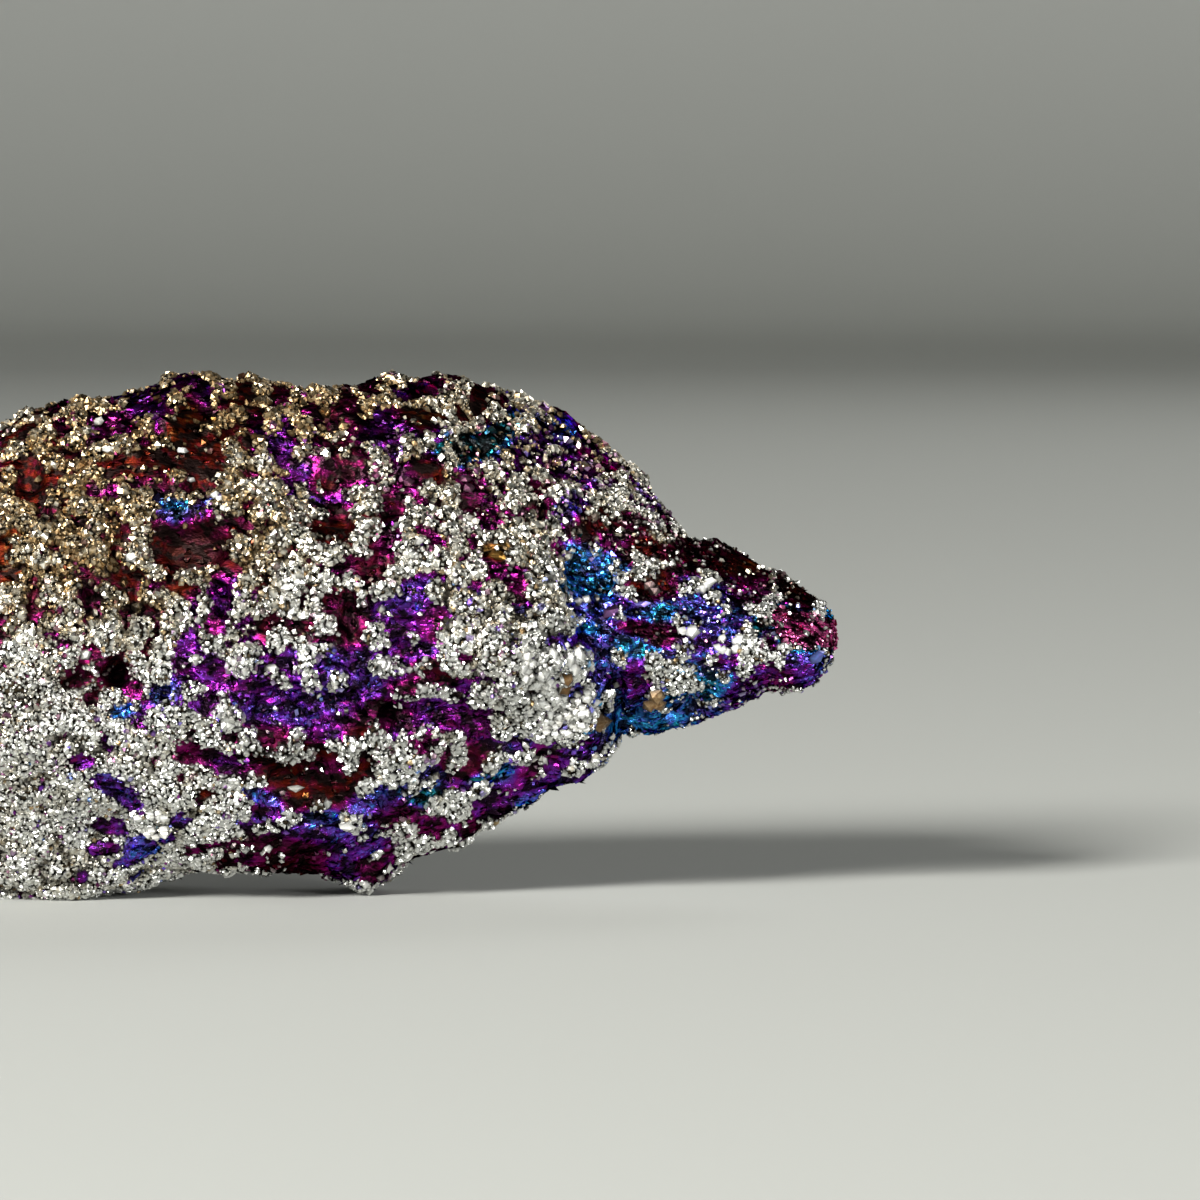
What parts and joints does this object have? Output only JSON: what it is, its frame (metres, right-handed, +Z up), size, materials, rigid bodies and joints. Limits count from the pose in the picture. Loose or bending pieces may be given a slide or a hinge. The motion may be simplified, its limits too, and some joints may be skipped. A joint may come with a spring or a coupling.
{
  "type": "peacock ore specimen",
  "caption": "Hand specimen of tarnished copper-iron ore, blunt at one end and pointed at the other, crusted with pale metal grains over iridescent hollows, standing on a broken face.",
  "frame": {"origin": "middle of the stone's bounding box, at the level of the flat break that it stands on", "axes": "+X along the stone towards its point, +Z up, and the broad face that the picture shows looks towards -Y"},
  "size_m": [0.0564, 0.0218, 0.0261],
  "materials": {
    "tarnished_ore": "metallic, with a thin iridescent tarnish from rust red through magenta, violet and blue to cyan, under a crust of pale brassy grains"
  },
  "bodies": {
    "root": {"peacock_ore": "tarnished_ore"}
  },
  "joints": []
}
